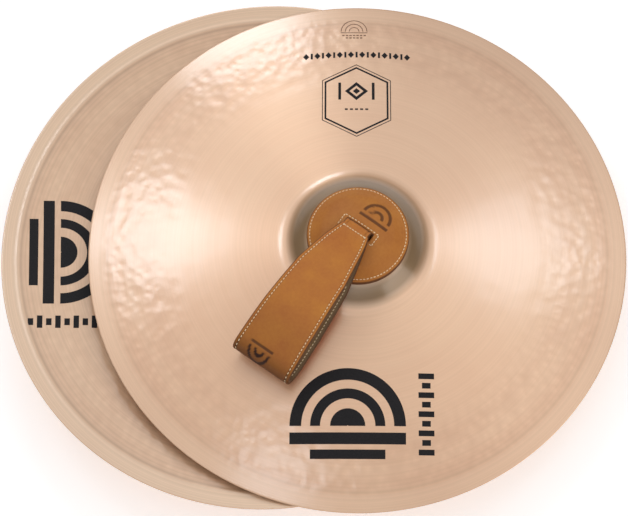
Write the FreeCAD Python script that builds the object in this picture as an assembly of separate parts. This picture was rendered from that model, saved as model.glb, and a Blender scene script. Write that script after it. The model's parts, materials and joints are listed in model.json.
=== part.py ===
import FreeCAD, Part
import math
import os

from FreeCAD import Placement, Rotation, Vector

# A pair of 18 inch bronze hand cymbals lying face to face. Millimetres, +Z up.
# The lower cymbal lies bell down on its own hand strap; the upper one lies bell up on its rim.
# Origin: centre of the pair's outline, at the level of the surface it lies on.

# ---------------------------------------------------------------- driving dimensions
# Cymbal, in its own frame: rim plane at z = 0, bell towards +Z, axis on Z.
RIM_RADIUS = 228.6
PLATE_THICKNESS = 1.3
EDGE_ROUND = 0.4
HOLE_RADIUS = 6.5
BOW_HEIGHT = 20.0
BOW_START_SLOPE = 4.5
COVE_RADIUS = 68.0
BELL_SIDE_RADIUS = 54.0
BELL_DOME_RADIUS = 85.0

# How the pair lies.
PAIR_OFFSET = 76.4
UPPER_TILT = 3.2
UPPER_RISE = 0.8
UPPER_STRAP_AZIMUTH = 237.6
LOWER_STRAP_AZIMUTH = 0.0

# Bell pad, built on the bell's dome.
RUNNING_GAP = 0.3
PAD_RADIUS = 42.75
BACKING_THICKNESS = 1.5
FELT_THICKNESS = 3.0
COVER_THICKNESS = 2.5
PAD_EDGE_THICKNESS = 4.8
FELT_TOP_RADIUS = 34.0
FELT_BASE_RADIUS = 39.0
FELT_HOLE_RADIUS = 14.0
BACKING_HOLE_RADIUS = 10.0
SLOT_LENGTH = 26.0
SLOT_WIDTH = 7.0
SLOT_CORNER = 1.0

# Hand strap: a loop of two layers, swinging about the slot.
LINING_THICKNESS = 1.3
STRAP_THICKNESS = 4.5
FOLD_RADIUS = 8.0
LOOP_GAP_START = 10.0
STRAP_HALF_WIDTHS = [(0.0, 12.75), (21.0, 17.6), (52.0, 23.2), (95.0, 26.2), (140.0, 28.0)]
# rise and fall: slopes of the layer away from the cymbal; droop: slope of the other layer.
LOWER_LOOP = {"rise": 20.85, "rise_radius": 110.0, "fall": 10.0, "droop": 0.0, "droop_radius": 101.0}
UPPER_LOOP = {"rise": 12.0, "rise_radius": 100.0, "fall": 28.0, "droop": 14.0, "droop_radius": 101.0}

# Sewing.
THREAD_WIDTH = 0.9
THREAD_DEPTH = 0.5
STRAP_SEAM_INSET = 3.0
CROSS_SEAM_PLACE = 6.0
PAD_SEAM_INSET = 2.4
SLOT_SEAM_LENGTH = 34.0
SLOT_SEAM_WIDTH = 11.0

# Ends of the strap: neck through pad and bell, knot and tails inside.
NECK_LENGTH = 24.6
NECK_WIDTH = 6.2
NECK_LOW_LENGTH = 9.0
NECK_LOW_WIDTH = 8.0
KNOT_SIZE = 30.0
KNOT_HEIGHT = 11.0
KNOT_CORNER = 8.0
KNOT_EDGE = 3.0
TAIL_COUNT = 4
TAIL_WIDTH = 11.0
TAIL_THICKNESS = 2.4
TAIL_REACH = 57.0
TAIL_SLOPE = 21.0
TAIL_SIDE_SHIFT = 6.5

Z_AXIS = Vector(0, 0, 1)
HALF_TURN_ABOUT_X = Placement(Vector(0, 0, 0), Rotation(Vector(1, 0, 0), 180))


def sin(degrees):
    return math.sin(math.radians(degrees))


def cos(degrees):
    return math.cos(math.radians(degrees))


# ---------------------------------------------------------------- cymbal section
# The outer surface is three tangent arcs: bell dome, cove and bow. An arc's place on the
# section is given by the slope of the surface there.
BOW_END = RIM_RADIUS - EDGE_ROUND
BELL_SIDE_SLOPE = math.degrees(math.asin(BELL_SIDE_RADIUS / BELL_DOME_RADIUS))
COVE_BEND = (COVE_RADIUS - BELL_SIDE_RADIUS) / (sin(BELL_SIDE_SLOPE) - sin(BOW_START_SLOPE))
BOW_CHORD = math.hypot(BOW_END - COVE_RADIUS, BOW_HEIGHT)
BOW_CHORD_SLOPE = math.degrees(math.atan2(BOW_HEIGHT, BOW_END - COVE_RADIUS))
BOW_BEND = BOW_CHORD / (2 * sin(BOW_CHORD_SLOPE - BOW_START_SLOPE))
BOW_END_SLOPE = 2 * BOW_CHORD_SLOPE - BOW_START_SLOPE
COVE_FOOT = Vector(COVE_RADIUS, 0, BOW_HEIGHT)
START_NORMAL = Vector(sin(BOW_START_SLOPE), 0, cos(BOW_START_SLOPE))
BOW_CENTRE = COVE_FOOT - START_NORMAL * BOW_BEND
COVE_CENTRE = COVE_FOOT + START_NORMAL * COVE_BEND
BELL_SIDE_Z = COVE_CENTRE.z - COVE_BEND * cos(BELL_SIDE_SLOPE)
BELL_CENTRE_Z = BELL_SIDE_Z - BELL_DOME_RADIUS * cos(BELL_SIDE_SLOPE)
BELL_TOP_Z = BELL_CENTRE_Z + BELL_DOME_RADIUS

# Levels of the pad and strap, on the cymbal's axis.
PAD_BASE = BELL_DOME_RADIUS + RUNNING_GAP
BACKING_TOP = PAD_BASE + BACKING_THICKNESS
FELT_TOP = BACKING_TOP + FELT_THICKNESS
COVER_TOP = FELT_TOP + COVER_THICKNESS
PAD_TOP_Z = BELL_CENTRE_Z + COVER_TOP
SWING_Z = PAD_TOP_Z + STRAP_THICKNESS + RUNNING_GAP


def section_point(centre, bend, slope):
    """Point of an arc where the surface has this slope; a negative bend is the hollow cove."""
    return centre + Vector(sin(slope), 0, cos(slope)) * bend


def section_arc(centre, bend, slope_from, slope_to):
    middle = (slope_from + slope_to) / 2
    points = [section_point(centre, bend, slope) for slope in (slope_from, middle, slope_to)]
    return Part.Arc(*points).toShape()


def plate_surface(depth):
    """The bell, cove and bow arcs of the surface this deep under the outer one."""
    bell_centre = Vector(0, 0, BELL_CENTRE_Z)
    dome = BELL_DOME_RADIUS - depth
    hole_slope = math.degrees(math.asin(HOLE_RADIUS / dome))
    return [
        section_arc(bell_centre, dome, hole_slope, BELL_SIDE_SLOPE),
        section_arc(COVE_CENTRE, -(COVE_BEND + depth), BELL_SIDE_SLOPE, BOW_START_SLOPE),
        section_arc(BOW_CENTRE, BOW_BEND - depth, BOW_START_SLOPE, BOW_END_SLOPE),
    ]


def ends(edge):
    return edge.valueAt(edge.FirstParameter), edge.valueAt(edge.LastParameter)


def revolved(edges):
    face = Part.Face(Part.Wire(Part.__sortEdges__(edges)))
    return face.revolve(Vector(0, 0, 0), Z_AXIS, 360)


def make_cymbal():
    outer = plate_surface(0)
    inner = plate_surface(PLATE_THICKNESS)
    outer_rim = ends(outer[-1])[1]
    inner_rim = ends(inner[-1])[1]
    outward = Vector(cos(BOW_END_SLOPE), 0, -sin(BOW_END_SLOPE))
    rim_middle = (outer_rim + inner_rim) * 0.5 + outward * EDGE_ROUND
    rim = Part.Arc(outer_rim, rim_middle, inner_rim).toShape()
    hole = Part.makeLine(ends(outer[0])[0], ends(inner[0])[0])
    return revolved(outer + inner + [rim, hole])


# ---------------------------------------------------------------- bell pad
# Layers are named by the radius of the dome they lie on, all about the bell dome's centre.
def dome_point(dome, radius):
    return Vector(radius, 0, BELL_CENTRE_Z + math.sqrt(dome * dome - radius * radius))


def dome_arc(dome, radius_from, radius_to):
    middle = (radius_from + radius_to) / 2
    points = [dome_point(dome, radius) for radius in (radius_from, middle, radius_to)]
    return Part.Arc(*points).toShape()


def upright_box(length_x, length_y, low_z, high_z):
    corner = Vector(-length_x / 2, -length_y / 2, low_z)
    return Part.makeBox(length_x, length_y, high_z - low_z, corner)


def upright_edges(box):
    return [edge for edge in box.Edges if abs(edge.tangentAt(edge.FirstParameter).z) > 0.5]


def upright_tube(outer_radius, inner_radius, low_z, high_z):
    foot = Vector(0, 0, low_z)
    outer = Part.makeCylinder(outer_radius, high_z - low_z, foot)
    return outer.cut(Part.makeCylinder(inner_radius, high_z - low_z, foot))


def make_backing():
    return revolved([
        dome_arc(PAD_BASE, BACKING_HOLE_RADIUS, PAD_RADIUS),
        Part.makeLine(dome_point(PAD_BASE, PAD_RADIUS), dome_point(BACKING_TOP, PAD_RADIUS)),
        dome_arc(BACKING_TOP, PAD_RADIUS, BACKING_HOLE_RADIUS),
        Part.makeLine(dome_point(BACKING_TOP, BACKING_HOLE_RADIUS),
                      dome_point(PAD_BASE, BACKING_HOLE_RADIUS)),
    ])


def make_felt():
    return revolved([
        dome_arc(BACKING_TOP, FELT_HOLE_RADIUS, FELT_BASE_RADIUS),
        Part.makeLine(dome_point(BACKING_TOP, FELT_BASE_RADIUS),
                      dome_point(FELT_TOP, FELT_TOP_RADIUS)),
        dome_arc(FELT_TOP, FELT_TOP_RADIUS, FELT_HOLE_RADIUS),
        Part.makeLine(dome_point(FELT_TOP, FELT_HOLE_RADIUS),
                      dome_point(BACKING_TOP, FELT_HOLE_RADIUS)),
    ])


def cover_blank(sink):
    """The whole cover over the felt, its upper surface lowered by sink."""
    edge_dome = PAD_BASE + PAD_EDGE_THICKNESS - sink
    return revolved([
        dome_arc(COVER_TOP - sink, 0, FELT_TOP_RADIUS),
        Part.makeLine(dome_point(COVER_TOP - sink, FELT_TOP_RADIUS),
                      dome_point(edge_dome, PAD_RADIUS)),
        Part.makeLine(dome_point(edge_dome, PAD_RADIUS), dome_point(BACKING_TOP, PAD_RADIUS)),
        dome_arc(BACKING_TOP, PAD_RADIUS, FELT_BASE_RADIUS),
        Part.makeLine(dome_point(BACKING_TOP, FELT_BASE_RADIUS),
                      dome_point(FELT_TOP, FELT_TOP_RADIUS)),
        dome_arc(FELT_TOP, FELT_TOP_RADIUS, 0),
        Part.makeLine(dome_point(FELT_TOP, 0), dome_point(COVER_TOP - sink, 0)),
    ])


def slot_prism():
    """Upright prism of the strap's slot, its length along Y."""
    prism = upright_box(SLOT_WIDTH, SLOT_LENGTH, BELL_TOP_Z, SWING_Z)
    return prism.makeFillet(SLOT_CORNER, upright_edges(prism))


def make_pad():
    """Cover, felt, backing and the two seams that lie flush in the cover."""
    skin = cover_blank(0).cut(cover_blank(THREAD_DEPTH))
    seam_radius = PAD_RADIUS - PAD_SEAM_INSET
    half_thread = THREAD_WIDTH / 2
    ring = upright_tube(seam_radius + half_thread, seam_radius - half_thread, 0, SWING_Z)
    frame = upright_box(SLOT_SEAM_WIDTH + THREAD_WIDTH, SLOT_SEAM_LENGTH + THREAD_WIDTH, 0, SWING_Z)
    window = upright_box(SLOT_SEAM_WIDTH - THREAD_WIDTH, SLOT_SEAM_LENGTH - THREAD_WIDTH, 0, SWING_Z)
    edge_thread = skin.common(ring)
    slot_thread = skin.common(frame.cut(window))
    cover = cover_blank(0).cut(slot_prism()).cut(edge_thread).cut(slot_thread)
    return {
        "pad_cover": cover,
        "pad_felt": make_felt(),
        "pad_backing": make_backing(),
        "pad_edge_thread": edge_thread,
        "pad_slot_thread": slot_thread,
    }


# ---------------------------------------------------------------- ends of the strap
def flat_rectangle(length_x, length_y, z):
    corners = [(-1, -1), (1, -1), (1, 1), (-1, 1), (-1, -1)]
    return Part.makePolygon([Vector(x * length_x / 2, y * length_y / 2, z) for x, y in corners])


def make_neck(knot_top):
    """The two ends together: flat in the slot, folded up inside the pad to pass the hole."""
    slot_floor = BELL_CENTRE_Z + FELT_TOP
    hole_level = BELL_TOP_Z + RUNNING_GAP
    neck = upright_box(NECK_WIDTH, NECK_LENGTH, slot_floor, PAD_TOP_Z)
    fold = Part.makeLoft([flat_rectangle(NECK_WIDTH, NECK_LENGTH, slot_floor),
                          flat_rectangle(NECK_LOW_WIDTH, NECK_LOW_LENGTH, hole_level)], True, True)
    stem = upright_box(NECK_LOW_WIDTH, NECK_LOW_LENGTH, knot_top, hole_level)
    return neck.fuse(fold).fuse(stem).removeSplitter()


def make_knot(knot_top):
    block = upright_box(KNOT_SIZE, KNOT_SIZE, knot_top - KNOT_HEIGHT, knot_top)
    knot = block.makeFillet(KNOT_CORNER, upright_edges(block))
    level = [edge for edge in knot.Edges if abs(edge.tangentAt(edge.FirstParameter).z) < 0.5]
    return knot.makeFillet(KNOT_EDGE, level)


def make_tails(knot, knot_top):
    """Four lace ends leaving the knot like a pinwheel, sloping down along the bell's inside."""
    start = Vector(0, TAIL_SIDE_SHIFT - TAIL_WIDTH / 2, -TAIL_THICKNESS / 2)
    tail = Part.makeBox(TAIL_REACH / cos(TAIL_SLOPE), TAIL_WIDTH, TAIL_THICKNESS, start)
    tail.rotate(Vector(0, 0, 0), Vector(0, 1, 0), TAIL_SLOPE)
    fall_inside_knot = KNOT_SIZE / 2 * sin(TAIL_SLOPE) / cos(TAIL_SLOPE)
    tail.translate(Vector(0, 0, knot_top - KNOT_HEIGHT / 2 + fall_inside_knot))
    core = Part.makeBox(KNOT_SIZE, KNOT_SIZE, SWING_Z, Vector(-KNOT_SIZE / 2, -KNOT_SIZE / 2, 0))
    tail = tail.cut(core)
    tails = []
    for index in range(TAIL_COUNT):
        copy = tail.copy()
        copy.rotate(Vector(0, 0, 0), Z_AXIS, index * 360 / TAIL_COUNT)
        tails.append(copy)
    return Part.makeCompound(tails)


def make_strap_ends():
    inner_dome = BELL_DOME_RADIUS - PLATE_THICKNESS
    corner = (KNOT_SIZE / 2 - KNOT_CORNER) * math.sqrt(2) + KNOT_CORNER
    knot_top = dome_point(inner_dome, corner).z - RUNNING_GAP
    knot = make_knot(knot_top)
    return {
        "strap_neck": make_neck(knot_top),
        "strap_knot": knot,
        "strap_tails": make_tails(knot, knot_top),
    }


# ---------------------------------------------------------------- hand strap
# Side view of the loop: u runs along the strap from the slot, w away from the cymbal. The gap
# between the layers closes at the slot; every leather surface is this outline offset outwards.
def path_arc(start, heading, bend, turn):
    """Arc that starts in this direction and turns left by turn degrees, or right if negative."""
    side = 1 if turn > 0 else -1
    centre = start + Vector(-sin(heading), 0, cos(heading)) * (side * bend)
    points = [centre + Vector(sin(angle), 0, -cos(angle)) * (side * bend)
              for angle in (heading, heading + turn / 2, heading + turn)]
    return Part.Arc(*points).toShape(), points[2]


def loop_unknowns(loop):
    """Bend of the long arc over the hand, and straight length of the droop layer, that close it."""
    rise, fall, droop = loop["rise"], loop["fall"], loop["droop"]
    lift, wrap = loop["rise_radius"], loop["droop_radius"]
    along = lift * sin(rise) - FOLD_RADIUS * (sin(fall) + sin(droop)) - wrap * sin(droop)
    up = lift * (1 - cos(rise)) - FOLD_RADIUS * (cos(droop) + cos(fall)) + wrap * (1 - cos(droop))
    # along + bend * (sin rise + sin fall) = straight * cos droop
    # up + bend * (cos fall - cos rise) = -straight * sin droop
    run, climb = sin(rise) + sin(fall), cos(fall) - cos(rise)
    bend = -(up * cos(droop) + along * sin(droop)) / (climb * cos(droop) + run * sin(droop))
    straight = (along + bend * run) / cos(droop)
    return bend, straight


def loop_outline(loop, offset):
    """Closed side outline of the loop, this far outside the gap between its layers."""
    bend, straight = loop_unknowns(loop)
    rise, fall, droop = loop["rise"], loop["fall"], loop["droop"]
    edges = []
    place = Vector(0, 0, offset)
    heading = 0
    for radius, turn in ((loop["rise_radius"] - offset, rise),
                         (bend + offset, -(rise + fall)),
                         (FOLD_RADIUS + offset, -(180 + droop - fall))):
        edge, place = path_arc(place, heading, radius, turn)
        heading += turn
        edges.append(edge)
    straight_end = place + Vector(cos(heading), 0, sin(heading)) * straight
    edges.append(Part.makeLine(place, straight_end))
    place = straight_end
    if droop > 0:
        edge, place = path_arc(place, heading, loop["droop_radius"] - offset, droop)
        edges.append(edge)
    if offset > 0:
        edges.append(path_arc(Vector(0, 0, -offset), 180, offset, -180)[0])
    return Part.Wire(Part.__sortEdges__(edges))


def loop_prism(loop, offset):
    """The loop's side outline, drawn out over more than the strap's width."""
    width = 4 * STRAP_HALF_WIDTHS[-1][1]
    face = Part.Face(loop_outline(loop, offset))
    face.translate(Vector(0, -width / 2, 0))
    return face.extrude(Vector(0, width, 0))


def strap_plan(inset):
    """Upright prism of the strap's tapering plan, its sides moved in by inset."""
    root, tip = 2 * -STRAP_THICKNESS, 1.1 * STRAP_HALF_WIDTHS[-1][0]
    half = STRAP_HALF_WIDTHS[0][1] - inset
    low = -3 * STRAP_HALF_WIDTHS[-1][1]
    side_points = [Vector(u, half_width - inset, low) for u, half_width in STRAP_HALF_WIDTHS]
    curve = Part.BSplineCurve()
    curve.interpolate(side_points)
    far = side_points[-1]
    mirrored = Part.BSplineCurve()
    mirrored.interpolate([Vector(point.x, -point.y, low) for point in side_points])
    edges = [
        curve.toShape(),
        mirrored.toShape(),
        Part.makeLine(Vector(root, half, low), side_points[0]),
        Part.makeLine(Vector(root, -half, low), Vector(side_points[0].x, -half, low)),
        Part.makeLine(Vector(root, -half, low), Vector(root, half, low)),
        Part.makeLine(far, Vector(tip, far.y, low)),
        Part.makeLine(Vector(far.x, -far.y, low), Vector(tip, -far.y, low)),
        Part.makeLine(Vector(tip, far.y, low), Vector(tip, -far.y, low)),
    ]
    face = Part.Face(Part.Wire(Part.__sortEdges__(edges)))
    return face.extrude(Vector(0, 0, -2 * low))


def make_strap(loop):
    """Outer leather, lining and seams of one hand loop, swing axis on Y through the origin."""
    reach = STRAP_HALF_WIDTHS[-1][0]
    beyond_root = Part.makeBox(2 * reach, 2 * reach, 2 * reach, Vector(LOOP_GAP_START, -reach, -reach))
    gap = loop_prism(loop, 0).common(beyond_root)
    lining_solid = loop_prism(loop, LINING_THICKNESS)
    full_solid = loop_prism(loop, STRAP_THICKNESS)
    plan = strap_plan(0)
    skin = full_solid.cut(loop_prism(loop, STRAP_THICKNESS - THREAD_DEPTH))

    half_thread = THREAD_WIDTH / 2
    seam_plan = strap_plan(STRAP_SEAM_INSET - half_thread).cut(strap_plan(STRAP_SEAM_INSET + half_thread))
    seam_box = Part.makeBox(2 * reach, 2 * reach, 2 * reach, Vector(CROSS_SEAM_PLACE, -reach, -reach))
    edge_thread = skin.common(seam_plan).common(seam_box)
    cross_half = STRAP_HALF_WIDTHS[0][1] - STRAP_SEAM_INSET
    cross_box = Part.makeBox(THREAD_WIDTH, 2 * cross_half, 2 * reach,
                             Vector(CROSS_SEAM_PLACE - THREAD_WIDTH, -cross_half, -reach))
    cross_thread = skin.common(cross_box)

    outer = full_solid.cut(lining_solid).common(plan).cut(edge_thread).cut(cross_thread)
    lining = lining_solid.cut(gap).common(plan)
    return {
        "strap_outer": outer,
        "strap_lining": lining,
        "strap_edge_thread": edge_thread,
        "strap_cross_thread": cross_thread,
    }


# ---------------------------------------------------------------- assembly
def placed(shapes, placement):
    """Copies of the shapes, each moved on by the placement."""
    moved = {}
    for name, shape in shapes.items():
        copy = shape.copy()
        copy.Placement = placement.multiply(copy.Placement)
        moved[name] = copy
    return moved


def make_whole(loop, strap_flip, azimuth):
    """One cymbal with its pad and strap, in the cymbal's own frame."""
    turn = Placement(Vector(0, 0, 0), Rotation(Z_AXIS, azimuth))
    raise_strap = Placement(Vector(0, 0, SWING_Z), Rotation())
    whole = {"cymbal": make_cymbal()}
    whole.update(placed(make_pad(), turn))
    whole.update(placed(make_strap_ends(), turn))
    whole.update(placed(make_strap(loop), turn.multiply(raise_strap).multiply(strap_flip)))
    return whole


def lower_placement():
    """Bell down, the strap's flat layer on the ground."""
    lift = Placement(Vector(-PAIR_OFFSET / 2, 0, SWING_Z + STRAP_THICKNESS), Rotation())
    return lift.multiply(HALF_TURN_ABOUT_X)


def upper_placement():
    """Bell up, tipped until it lies on both sides of the lower rim and on its far edge."""
    rim_z = SWING_Z + STRAP_THICKNESS
    lean = Rotation(Vector(0, 1, 0), UPPER_TILT)
    centre = Vector(PAIR_OFFSET / 2 + RIM_RADIUS * (1 - cos(UPPER_TILT)), 0, rim_z + UPPER_RISE)
    return Placement(centre, lean)


def report(name, shape):
    box = shape.BoundBox
    print("%-26s solids %d valid %s volume %9.1f z %.2f to %.2f"
          % (name, len(shape.Solids), shape.isValid(), shape.Volume, box.ZMin, box.ZMax))


def main():
    os.makedirs("parts", exist_ok=True)
    lower = make_whole(LOWER_LOOP, HALF_TURN_ABOUT_X, LOWER_STRAP_AZIMUTH)
    upper = make_whole(UPPER_LOOP, Placement(), UPPER_STRAP_AZIMUTH)
    for prefix, whole, placement in (("lower_", lower, lower_placement()),
                                     ("upper_", upper, upper_placement())):
        for name, shape in placed(whole, placement).items():
            report(prefix + name, shape)
            shape.exportStep("parts/%s.step" % (prefix + name))


main()
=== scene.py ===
import json
import math
import random

import bpy
import numpy as np
from mathutils import Matrix, Vector


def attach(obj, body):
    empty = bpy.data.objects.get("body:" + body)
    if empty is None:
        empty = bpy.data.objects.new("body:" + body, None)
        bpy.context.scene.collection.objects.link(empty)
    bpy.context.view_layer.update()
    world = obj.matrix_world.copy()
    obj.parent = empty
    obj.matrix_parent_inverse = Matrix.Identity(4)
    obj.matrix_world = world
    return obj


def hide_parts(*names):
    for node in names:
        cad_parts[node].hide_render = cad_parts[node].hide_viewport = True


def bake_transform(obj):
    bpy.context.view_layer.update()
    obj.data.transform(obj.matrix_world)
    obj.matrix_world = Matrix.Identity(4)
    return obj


# Hand cymbals lying face to face. Lengths are in millimetres up to make_piece, which scales
# them to metres. Each cymbal is drawn in its own frame: rim plane at z = 0, bell towards +Z.
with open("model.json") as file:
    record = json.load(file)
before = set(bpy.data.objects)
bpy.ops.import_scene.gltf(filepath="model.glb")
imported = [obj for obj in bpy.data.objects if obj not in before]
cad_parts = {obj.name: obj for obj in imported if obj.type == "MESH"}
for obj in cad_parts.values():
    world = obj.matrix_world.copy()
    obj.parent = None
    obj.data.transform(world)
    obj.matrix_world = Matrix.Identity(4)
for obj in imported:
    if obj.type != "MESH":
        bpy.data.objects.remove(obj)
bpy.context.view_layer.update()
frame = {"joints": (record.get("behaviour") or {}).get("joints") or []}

MM = 0.001
SEED = 18
SHARP_ANGLE = 50
VOLUME_SAMPLES = 20000

# ---- sizes, as in the CAD model
RIM_RADIUS = 228.6
PLATE_THICKNESS = 1.3
EDGE_ROUND = 0.4
HOLE_RADIUS = 6.5
BOW_HEIGHT = 20.0
BOW_START_SLOPE = 4.5
COVE_RADIUS = 68.0
BELL_SIDE_RADIUS = 54.0
BELL_DOME_RADIUS = 85.0
PAD_GAP = 0.3
PAD_RADIUS = 42.75
PAD_THICKNESS = 7.0
PAD_EDGE_THICKNESS = 4.8
STRAP_THICKNESS = 4.5
UPPER_LOOP = {"rise": 12.0, "rise_radius": 100.0, "fall": 28.0, "droop": 14.0, "droop_radius": 101.0}
LOWER_LOOP = {"rise": 20.85, "rise_radius": 110.0, "fall": 10.0, "droop": 0.0, "droop_radius": 101.0}
FOLD_RADIUS = 8.0
STRAP_HALF_WIDTHS = [(0.0, 12.75), (21.0, 17.6), (52.0, 23.2), (95.0, 26.2), (140.0, 28.0)]


def sin(degrees):
    return math.sin(math.radians(degrees))


def cos(degrees):
    return math.cos(math.radians(degrees))


# Section of the plate: bell dome, cove and bow arcs, each tangent to the next.
BOW_END = RIM_RADIUS - EDGE_ROUND
BELL_SIDE_SLOPE = math.degrees(math.asin(BELL_SIDE_RADIUS / BELL_DOME_RADIUS))
COVE_BEND = (COVE_RADIUS - BELL_SIDE_RADIUS) / (sin(BELL_SIDE_SLOPE) - sin(BOW_START_SLOPE))
BOW_CHORD = math.hypot(BOW_END - COVE_RADIUS, BOW_HEIGHT)
BOW_CHORD_SLOPE = math.degrees(math.atan2(BOW_HEIGHT, BOW_END - COVE_RADIUS))
BOW_BEND = BOW_CHORD / (2 * sin(BOW_CHORD_SLOPE - BOW_START_SLOPE))
BOW_CENTRE = (COVE_RADIUS - BOW_BEND * sin(BOW_START_SLOPE), BOW_HEIGHT - BOW_BEND * cos(BOW_START_SLOPE))
COVE_CENTRE = (COVE_RADIUS + COVE_BEND * sin(BOW_START_SLOPE), BOW_HEIGHT + COVE_BEND * cos(BOW_START_SLOPE))
BELL_SIDE_Z = COVE_CENTRE[1] - COVE_BEND * cos(BELL_SIDE_SLOPE)
BELL_CENTRE_Z = BELL_SIDE_Z - BELL_DOME_RADIUS * cos(BELL_SIDE_SLOPE)
PAD_TOP_Z = BELL_CENTRE_Z + BELL_DOME_RADIUS + PAD_GAP + PAD_THICKNESS
SWING_Z = PAD_TOP_Z + STRAP_THICKNESS + PAD_GAP

# ---- where the CAD model puts things
JOINTS = {joint["name"]: joint for joint in frame["joints"]}


def axes_matrix(x_axis, y_axis, z_axis, origin):
    matrix = Matrix((x_axis, y_axis, z_axis)).transposed().to_4x4()
    matrix.translation = origin
    return matrix


def cymbal_place(name, bell):
    """Matrix of a cymbal's own frame, from its strap's swing axis and its pad's swivel axis."""
    up = Vector(JOINTS[name + "_pad_swivel"]["axis"]).normalized() * bell
    side = Vector((0, 1, 0)) * bell
    along = side.cross(up)
    centre = Vector(JOINTS[name + "_strap_swing"]["pos_m"]) - up * (SWING_Z * MM)
    return axes_matrix(along, side, up, centre)


PLACES = {"upper": cymbal_place("upper", 1), "lower": cymbal_place("lower", -1)}


def strap_azimuth(name):
    """Direction in which the strap lies, in its cymbal's own frame, from its swing axis."""
    axis = PLACES[name].to_3x3().inverted() @ Vector(JOINTS[name + "_strap_swing"]["axis"])
    return math.atan2(-axis.x, axis.y) + math.pi


# ---- mesh helpers
def add_object(name, data):
    """A new object in the scene."""
    added = bpy.data.objects.new(name, data)
    bpy.context.scene.collection.objects.link(added)
    return added


def smoothstep(value, low, high):
    share = np.clip((value - low) / (high - low), 0.0, 1.0)
    return share * share * (3 - 2 * share)


def bump(value, centre, width):
    return np.exp(-((value - centre) / width) ** 2)


def grid_quads(rows, columns, wrap_rows, wrap_columns):
    """Quads between points numbered row by row."""
    row = np.arange(rows if wrap_rows else rows - 1)
    column = np.arange(columns if wrap_columns else columns - 1)
    row, column = np.meshgrid(row, column, indexing="ij")
    next_row, next_column = (row + 1) % rows, (column + 1) % columns
    quads = np.stack([row * columns + column, row * columns + next_column,
                      next_row * columns + next_column, next_row * columns + column], axis=-1)
    return quads.reshape(-1, 4).tolist()


def ring_angles(count):
    return np.linspace(0, 2 * math.pi, count, endpoint=False)


def tube_faces(rows, columns):
    """Faces of a tube of rings: quads along it and a cap at both ends."""
    faces = grid_quads(rows, columns, False, True)
    faces.append(list(range(columns))[::-1])
    faces.append([(rows - 1) * columns + column for column in range(columns)])
    return faces


def joined(parts):
    """One list of points and one of faces from several (points, faces) pairs."""
    points, faces, count = [], [], 0
    for part_points, part_faces in parts:
        points.append(part_points)
        faces.extend([index + count for index in face] for face in part_faces)
        count += len(part_points)
    return np.concatenate(points), faces


def signed_volume(points, faces):
    total = 0.0
    for face in faces[::max(1, len(faces) // VOLUME_SAMPLES)]:
        corners = points[face]
        total += np.dot(corners[0], np.cross(corners[1], corners[-1]))
    return total


def make_piece(name, points, faces, place, material, body, slot, replaced=(), shade=None):
    """A mesh object from millimetre points in a cymbal's frame, riding on a CAD body if one is given."""
    points = np.asarray(points, float)
    if signed_volume(points - points.mean(axis=0), faces) < 0:
        faces = [face[::-1] for face in faces]
    mesh = bpy.data.meshes.new(name)
    mesh.from_pydata((points * MM).tolist(), [], faces)
    mesh.polygons.foreach_set("use_smooth", [True] * len(mesh.polygons))
    mesh.set_sharp_from_angle(angle=math.radians(SHARP_ANGLE))
    if shade is not None:
        layer = mesh.attributes.new("shade", "FLOAT", "POINT")
        layer.data.foreach_set("value", np.asarray(shade, np.float32))
    mesh.materials.append(material)
    piece = add_object(name, mesh)
    piece.matrix_world = place
    if body:
        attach(piece, body)
    if replaced:
        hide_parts(*replaced)
    return piece


# ---- materials
class Nodes:
    """Short calls for the node tree of one material."""

    def __init__(self, name):
        self.material = bpy.data.materials.new(name)
        self.material.use_nodes = True
        self.tree = self.material.node_tree
        self.shader = self.tree.nodes["Principled BSDF"]

    def add(self, kind, inputs=None, **settings):
        node = self.tree.nodes.new(kind)
        for key, value in settings.items():
            setattr(node, key, value)
        for key, value in (inputs or {}).items():
            self.feed(node.inputs[key], value)
        return node

    def feed(self, target, value):
        if isinstance(value, bpy.types.NodeSocket):
            self.tree.links.new(value, target)
        else:
            target.default_value = value

    def math(self, operation, *values):
        return self.add("ShaderNodeMath", dict(enumerate(values)), operation=operation).outputs[0]

    def times(self, first, second):
        return self.math("MULTIPLY", first, second)

    def weighted(self, first, first_weight, second, second_weight):
        return self.math("ADD", self.times(first, first_weight), self.times(second, second_weight))

    def position(self):
        return self.add("ShaderNodeTexCoord").outputs["Object"]

    def noise(self, vector, scale, detail=3.0, roughness=0.5):
        inputs = {"Vector": vector, "Scale": scale, "Detail": detail, "Roughness": roughness}
        return self.add("ShaderNodeTexNoise", inputs).outputs["Fac"]

    def noise_1d(self, value, scale, detail):
        inputs = {"W": value, "Scale": scale, "Detail": detail}
        return self.add("ShaderNodeTexNoise", inputs, noise_dimensions="1D").outputs["Fac"]

    def spread(self, value, low, high, to_low=0.0, to_high=1.0):
        inputs = dict(enumerate((value, low, high, to_low, to_high)))
        return self.add("ShaderNodeMapRange", inputs, clamp=True).outputs[0]

    def ring(self, radius, limits, share=1.0):
        """Share inside a ring, given where it starts, is full, starts to fade and has ended."""
        starts, full, fades, ended = limits
        return self.times(self.spread(radius, starts, full, 0.0, share), self.spread(radius, ended, fades))

    def mix(self, share, first, second):
        inputs = {"Factor": share, 6: first, 7: second}
        return self.add("ShaderNodeMix", inputs, data_type="RGBA").outputs[2]

    def relief(self, height, distance, strength=1.0, under=None):
        inputs = {"Height": height, "Distance": distance, "Strength": strength}
        if under is not None:
            inputs["Normal"] = under
        return self.add("ShaderNodeBump", inputs).outputs["Normal"]

    def set(self, **values):
        for key, value in values.items():
            self.feed(self.shader.inputs[key.replace("_", " ")], value)
        return self.material


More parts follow.
